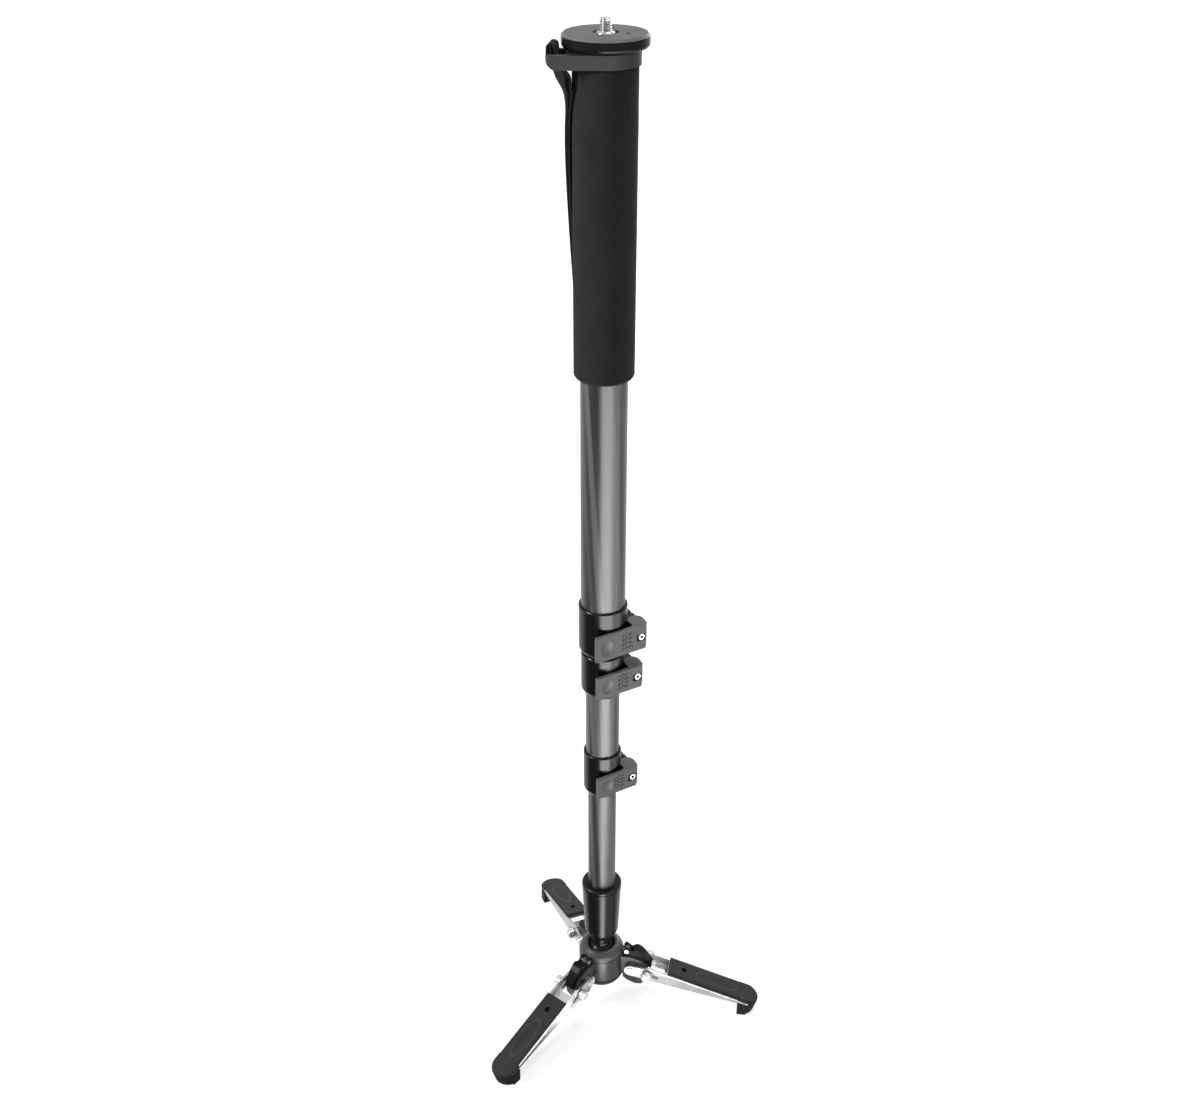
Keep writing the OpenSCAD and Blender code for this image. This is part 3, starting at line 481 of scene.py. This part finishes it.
def strap_stop(x, y, z, turn=0.0):
    """A point of the webbing's middle line in the bracket's own frame, and the direction of its width."""
    turn = math.radians(turn)
    return (x * MM, y * MM, z * MM, -math.sin(turn), math.cos(turn), 0.0)


def on_grip(radius, depth):
    turn = math.radians(strap_angle(depth))
    return strap_stop(radius * math.cos(turn), radius * math.sin(turn), GRIP_TOP - depth, strap_angle(depth))


def strap_course():
    """The closed loop: up the outer leg, over the top, down the inner leg and round the fold at the bottom."""
    depths = [134, 126, 114, 102, 90, 78, 66, 55, 45, 36, 28]
    course = [on_grip(OUTER_R, d) for d in depths]
    course += [on_grip(20.5, 21), on_grip(21.4, 14.5),
               strap_stop(22.7, 5.6, 653.7, 17), strap_stop(23.5, 6.4, 657, 24), strap_stop(24.0, 7.1, 660, 30),
               strap_stop(25.0, 7.8, 661.8, 28), strap_stop(26.3, 8.2, 663.2, 16),
               strap_stop(28.0, PIN_Y, 664.1, 5), strap_stop(29.4, PIN_Y, 665.3),
               strap_stop(PIN_X + PIN_GAP, PIN_Y, PIN_Z), strap_stop(29.9, PIN_Y, 668.8, -2),
               strap_stop(29.5, PIN_Y, 671, -6)]
    lean = math.radians(LOOP_TURN)
    for k in range(9):
        turn = math.pi * k / 8
        side = LOOP_R * math.cos(turn)
        course.append(strap_stop(LOOP_X + side * math.cos(lean), PIN_Y + side * math.sin(lean),
                                 LOOP_Z + LOOP_R * math.sin(turn), LOOP_TURN))
    course += [strap_stop(25.1, PIN_Y, 671, -6), strap_stop(24.6, PIN_Y, 668.8, -2),
               strap_stop(PIN_X - PIN_GAP, PIN_Y, PIN_Z), strap_stop(23.9, PIN_Y, 665, 6),
               strap_stop(23.2, 8.0, 663, 18), strap_stop(22.3, 7.4, 661, 29), strap_stop(21.3, 6.6, 659, 29),
               strap_stop(20.6, 6.0, 657, 24), strap_stop(19.9, 5.2, 653.7, 17),
               on_grip(19.2, 14.5), on_grip(18.8, 21)]
    course += [on_grip(INNER_R, d) for d in depths[::-1]]
    course += [on_grip(INNER_R + 0.25, STRAP_LOW - 0.8), on_grip((INNER_R + OUTER_R) / 2, STRAP_LOW),
               on_grip(OUTER_R - 0.25, STRAP_LOW - 0.8)]
    return course


def smooth_loop(stops, step):
    """Even samples of a closed Catmull-Rom curve through stops of any dimension."""
    count, parts = len(stops), 16
    fine = []
    for k in range(count):
        p0, p1, p2, p3 = (Vector(stops[(k + d) % count]) for d in (-1, 0, 1, 2))
        for part in range(parts):
            t = part / parts
            fine.append(0.5 * (2 * p1 + (p2 - p0) * t + (2 * p0 - 5 * p1 + 4 * p2 - p3) * t * t
                               + (3 * p1 - p0 - 3 * p2 + p3) * t ** 3))
    lengths = [0.0]
    for a, b in zip(fine, fine[1:] + fine[:1]):
        lengths.append(lengths[-1] + (Vector(b[:3]) - Vector(a[:3])).length)
    total = lengths[-1]
    samples = round(total / step)
    out, at = [], 0
    for k in range(samples):
        target = total * k / samples
        while lengths[at + 1] < target:
            at += 1
        share = (target - lengths[at]) / (lengths[at + 1] - lengths[at])
        out.append(fine[at].lerp(fine[(at + 1) % len(fine)], share))
    return out, total


def strap_section():
    """The webbing's cross-section, ribbed along its length: (across, out) pairs round the outline."""
    ribs, steps = 6, 8
    half, thick = STRAP_W / 2, STRAP_T / 2
    face = []
    for k in range(ribs * steps + 1):
        share = k / (ribs * steps)
        rib = abs(math.sin(math.pi * ribs * share)) ** 0.6
        face.append((-half + STRAP_W * share, thick * (0.68 + 0.32 * rib)))
    return face + [(half, 0.0)] + [(x, -y) for x, y in reversed(face)] + [(-half, 0.0)]


def carried(section, stop, ahead, turn):
    """The section's outline set square to the strap at one point of its course."""
    across = Vector(stop[3:])
    across = (across - ahead * across.dot(ahead)).normalized()
    out = across.cross(ahead)
    return [turn @ (Vector(stop[:3]) + across * x + out * y) for x, y in section]


def wrist_strap():
    """The webbing loop: one ribbed strip over the pin, its two legs lying together round the grip."""
    line, total = smooth_loop(strap_course(), 0.9 * MM)
    section = strap_section()
    turn = Matrix.Rotation(BRACKET_TURN, 3, "Z")
    count, around = len(line), len(section)
    points, weave = [], []
    for k, stop in enumerate(line):
        ahead = (Vector(line[(k + 1) % count][:3]) - Vector(line[k - 1][:3])).normalized()
        points += carried(section, stop, ahead, turn)
        weave += [(x, total * k / count) for x, y in section]
    faces = ring_faces(count, around, True)
    # the sewn end, standing inside the top of the loop
    low, high, first = PIN_Z + 2.3, LOOP_Z + 0.9, len(points)
    rows = 6
    for k in range(rows):
        z = low + (high - low) * k / (rows - 1)
        points += carried(section, strap_stop(LOOP_X, PIN_Y, z, LOOP_TURN), Vector((0, 0, 1)), turn)
        weave += [(x, total / 2 + z * MM) for x, y in section]
    faces += [tuple(v + first for v in face) for face in ring_faces(rows, around)]
    last = first + (rows - 1) * around
    faces += [tuple(range(first, first + around)), tuple(range(last, last + around))]
    obj = mesh_piece("webbing_strap", points, faces, "webbing")
    layer = obj.data.uv_layers.new(name="weave")
    for face in obj.data.polygons:
        along = [weave[v][1] for v in face.vertices]
        wrap = total if max(along) - min(along) > total / 2 else 0.0
        for loop in face.loop_indices:
            u, v = weave[obj.data.loops[loop].vertex_index]
            layer.data[loop].uv = (u, v + wrap if v < total / 2 else v)
    outward(obj.data)
    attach(obj, "section_1")
    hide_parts("wrist_strap")


def camera_stud():
    """The reversible camera screw, its upper end with a true helical thread."""
    low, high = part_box("camera_screw")
    pitch, crest, root, shank = 1.27 * MM, 3.175 * MM, 2.62 * MM, 4.7625 * MM
    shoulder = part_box("top_plate")[1].z + 0.3 * MM
    around, per_turn = 72, 14
    # height, radius and whether the thread is cut there
    rows = [(low.z, shank - 0.4 * MM, 0), (low.z + 0.4 * MM, shank, 0), (shoulder - 0.3 * MM, shank, 0),
            (shoulder, shank - 0.3 * MM, 0), (shoulder, root, 0)]
    steps = round((high.z - 0.5 * MM - shoulder) / (pitch / per_turn))
    rows += [(shoulder + k * pitch / per_turn, root, 1) for k in range(1, steps)]
    rows += [(high.z - 0.25 * MM, root - 0.05 * MM, 0), (high.z, root - 0.4 * MM, 0)]
    points = []
    for z, radius, threaded in rows:
        fade = min(1, (high.z - 0.2 * MM - z) / (0.9 * MM), (z - shoulder) / (0.5 * MM))
        for k in range(around):
            turn = 2 * math.pi * k / around
            phase = ((z - shoulder) / pitch - k / around) % 1
            flank = min(1, max(0, (0.5 - abs(phase - 0.5) - 0.1) / 0.3))
            r = radius + threaded * (crest - root) * flank * max(0, fade)
            points.append((r * math.cos(turn), r * math.sin(turn), z))
    faces = ring_faces(len(rows), around)
    last = (len(rows) - 1) * around
    faces += [tuple(range(around))[::-1], tuple(range(last, last + around))]
    obj = mesh_piece("camera_stud", points, faces, "stud_steel")
    obj.data.polygons[-1].use_smooth = obj.data.polygons[-2].use_smooth = False
    outward(obj.data)
    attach(obj, "section_1")
    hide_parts("camera_screw")


def knurl_tree():
    """Geometry Nodes: fine ridges round a knob, both knobs of a slider at once."""
    tree = bpy.data.node_groups.new("knurl", "GeometryNodeTree")
    face = tree.interface
    face.new_socket("Geometry", in_out="INPUT", socket_type="NodeSocketGeometry")
    sizes = (("Ridges", "NodeSocketInt"), ("Knob Radius", "NodeSocketFloat"),
             ("Ridge Length", "NodeSocketFloat"), ("Ridge Size", "NodeSocketFloat"),
             ("Finish", "NodeSocketMaterial"))
    for name, kind in sizes:
        face.new_socket(name, in_out="INPUT", socket_type=kind)
    face.new_socket("Geometry", in_out="OUTPUT", socket_type="NodeSocketGeometry")
    new, join = tree.nodes.new, tree.links.new
    given, out = new("NodeGroupInput"), new("NodeGroupOutput")
    ring = new("GeometryNodeMeshCircle")
    join(given.outputs["Ridges"], ring.inputs["Vertices"])
    join(given.outputs["Knob Radius"], ring.inputs["Radius"])
    ridge = new("GeometryNodeMeshCylinder")
    ridge.inputs["Vertices"].default_value = 6
    join(given.outputs["Ridge Size"], ridge.inputs["Radius"])
    join(given.outputs["Ridge Length"], ridge.inputs["Depth"])
    around = new("GeometryNodeInstanceOnPoints")
    join(ring.outputs["Mesh"], around.inputs["Points"])
    join(ridge.outputs["Mesh"], around.inputs["Instance"])
    facing = new("FunctionNodeAlignRotationToVector")
    facing.axis = "Z"
    normal = new("GeometryNodeInputNormal")
    knobs = new("GeometryNodeInstanceOnPoints")
    join(given.outputs["Geometry"], knobs.inputs["Points"])
    join(around.outputs["Instances"], knobs.inputs["Instance"])
    join(normal.outputs[0], facing.inputs["Vector"])
    join(facing.outputs[0], knobs.inputs["Rotation"])
    solid = new("GeometryNodeRealizeInstances")
    join(knobs.outputs["Instances"], solid.inputs["Geometry"])
    dressed = new("GeometryNodeSetMaterial")
    join(solid.outputs["Geometry"], dressed.inputs["Geometry"])
    join(given.outputs["Finish"], dressed.inputs["Material"])
    join(dressed.outputs["Geometry"], out.inputs["Geometry"])
    return tree


def knob_ridges():
    """The milled edges of the six slider knobs, one piece for each slider."""
    tree = knurl_tree()
    names = {item.name: item.identifier for item in tree.interface.items_tree if item.in_out == "INPUT"}
    along, height, out = 11.9 * MM, 2.3 * MM, (8.5 + 0.3 + 2.25) * MM
    sizes = {"Ridges": 30, "Knob Radius": 3.46 * MM, "Ridge Length": 3.2 * MM, "Ridge Size": 0.24 * MM,
             "Finish": FINISH["steel"]}
    pivot = Vector(FOOT_PIVOT)
    slope = Matrix.Rotation(FOOT_SLOPE, 3, "Y")
    for foot in FEET:
        turn = Matrix.Rotation(foot_turn(foot), 3, "Z")
        # a tiny triangle in the middle of each knob gives the tree its place and direction
        points, faces = [], []
        for side in (-1, 1):
            middle = turn @ (pivot + slope @ Vector((along, side * out, height)))
            across = turn @ Vector((0, side, 0))
            ahead = turn @ (slope @ Vector((1, 0, 0)))
            up = across.cross(ahead)
            first = len(points)
            points += [middle + (ahead * math.cos(a) + up * math.sin(a)) * 1e-5
                       for a in (0, 2 * math.pi / 3, 4 * math.pi / 3)]
            faces.append((first, first + 1, first + 2))
        seed = bpy.data.meshes.new("knob_seed")
        seed.from_pydata(points, [], faces)
        host = link(bpy.data.objects.new("knob_seed", seed))
        modifier = host.modifiers.new("knurl", "NODES")
        modifier.node_group = tree
        for name, value in sizes.items():
            modifier[names[name]] = value
        mesh = bpy.data.meshes.new_from_object(host.evaluated_get(bpy.context.evaluated_depsgraph_get()))
        bpy.data.objects.remove(host)
        mesh.name = f"knob_ridges_{foot}"
        piece = link(bpy.data.objects.new(f"knob_ridges_{foot}", mesh))
        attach(piece, f"slider_{foot}")


def lights():
    """Soft lamps from the left, the right, behind and above."""
    def area(name, where, target, size, power):
        data = bpy.data.lights.new(name, "AREA")
        data.shape = "RECTANGLE"
        data.size, data.size_y = size
        data.energy = power
        obj = link(bpy.data.objects.new(name, data))
        obj.location = where
        obj.rotation_euler = (Vector(target) - Vector(where)).to_track_quat("-Z", "Y").to_euler()
        obj.visible_camera = False

    area("key", (-1.5, -0.8, 1.15), (0, 0, 0.35), (0.4, 0.6), 34)
    area("fill", (1.5, -0.8, 0.8), (0, 0, 0.3), (0.8, 1.0), 4)
    area("back", (0.5, 1.6, 0.9), (0, 0, 0.35), (0.8, 1.0), 16)
    area("top", (0.3, 0.2, 1.8), (0, 0, 0.3), (0.5, 0.5), 13)


def paint(name, build):
    made = bpy.data.materials.new(name)
    made.use_nodes = True
    tree = made.node_tree
    tree.nodes.remove(tree.nodes["Principled BSDF"])
    tree.links.new(build(tree), tree.nodes["Material Output"].inputs["Surface"])
    return made


def seen_or_mirrored(tree, low, high):
    """A strength for rays from the camera and from mirrors, and another for the light that falls on things."""
    path = tree.nodes.new("ShaderNodeLightPath")
    seen = tree.nodes.new("ShaderNodeMath")
    seen.operation = "MAXIMUM"
    tree.links.new(path.outputs["Is Camera Ray"], seen.inputs[0])
    tree.links.new(path.outputs["Is Glossy Ray"], seen.inputs[1])
    level = tree.nodes.new("ShaderNodeMapRange")
    level.inputs["To Min"].default_value = low
    level.inputs["To Max"].default_value = high
    tree.links.new(seen.outputs[0], level.inputs["Value"])
    return level.outputs["Result"]


def flat_piece(name, points, material):
    mesh = bpy.data.meshes.new(name)
    mesh.from_pydata(points, [], [tuple(range(len(points)))])
    mesh.materials.append(material)
    obj = link(bpy.data.objects.new(name, mesh))
    return obj


def floor_paint(tree):
    """A matt floor that keeps the shadow, and whose glow for the camera and mirrors grows to white far off."""
    matt = tree.nodes.new("ShaderNodeBsdfDiffuse")
    matt.inputs["Color"].default_value = (0.45, 0.45, 0.45, 1)
    glow = tree.nodes.new("ShaderNodeEmission")
    place = tree.nodes.new("ShaderNodeNewGeometry")
    away = tree.nodes.new("ShaderNodeVectorMath")
    away.operation = "LENGTH"
    tree.links.new(place.outputs["Position"], away.inputs[0])
    level = tree.nodes.new("ShaderNodeMapRange")
    for key, value in (("From Min", 0.25), ("From Max", 1.2), ("To Min", 0.72), ("To Max", 1.0)):
        level.inputs[key].default_value = value
    tree.links.new(away.outputs["Value"], level.inputs["Value"])
    tree.links.new(level.outputs["Result"], glow.inputs["Color"])
    tree.links.new(seen_or_mirrored(tree, 0.0, 1.0), glow.inputs["Strength"])
    both = tree.nodes.new("ShaderNodeAddShader")
    tree.links.new(matt.outputs[0], both.inputs[0])
    tree.links.new(glow.outputs[0], both.inputs[1])
    return both.outputs[0]


def panel(name, start, end, near, far, strength):
    """A sector of the floor that only polished surfaces mirror; its angles in degrees from the camera."""
    def glow(tree):
        made = tree.nodes.new("ShaderNodeEmission")
        made.inputs["Strength"].default_value = strength
        return made.outputs[0]

    steps = 6
    turns = [math.radians(CAMERA_TURN - 90 + start + (end - start) * k / steps) for k in range(steps + 1)]
    corners = [(a, far) for a in turns] + [(a, near) for a in reversed(turns)]
    obj = flat_piece(name, [(r * math.cos(a), r * math.sin(a), 2 * MM) for a, r in corners], paint(name, glow))
    obj.visible_camera = obj.visible_diffuse = obj.visible_shadow = False
    obj.visible_transmission = obj.visible_volume_scatter = False


def stage():
    """White floor and surroundings, and the panels that polished surfaces mirror."""
    scene = bpy.context.scene
    scene.view_settings.view_transform = "Standard"
    world = bpy.data.worlds.new("studio")
    scene.world = world
    world.use_nodes = True
    tree = world.node_tree
    tree.links.new(seen_or_mirrored(tree, 0.2, 1.0), tree.nodes["Background"].inputs["Strength"])
    tree.nodes["Background"].inputs["Color"].default_value = (1, 1, 1, 1)
    half, level = 6, -0.0004
    corners = [(x * half, y * half, level) for x, y in ((-1, -1), (1, -1), (1, 1), (-1, 1))]
    flat_piece("floor", corners, paint("floor", floor_paint))
    panel("dark_flag", -95, -14, 0.045, 1.5, 0.1)
    panel("near_panel", -6, 18, 0.045, 0.2, 17.0)
    panel("far_panel", -13, 44, 0.2, 1.5, 20.0)
    panel("side_panel", 44, 85, 0.3, 1.5, 7.0)


foam_grip()
wrist_strap()
camera_stud()
knob_ridges()
lights()
stage()
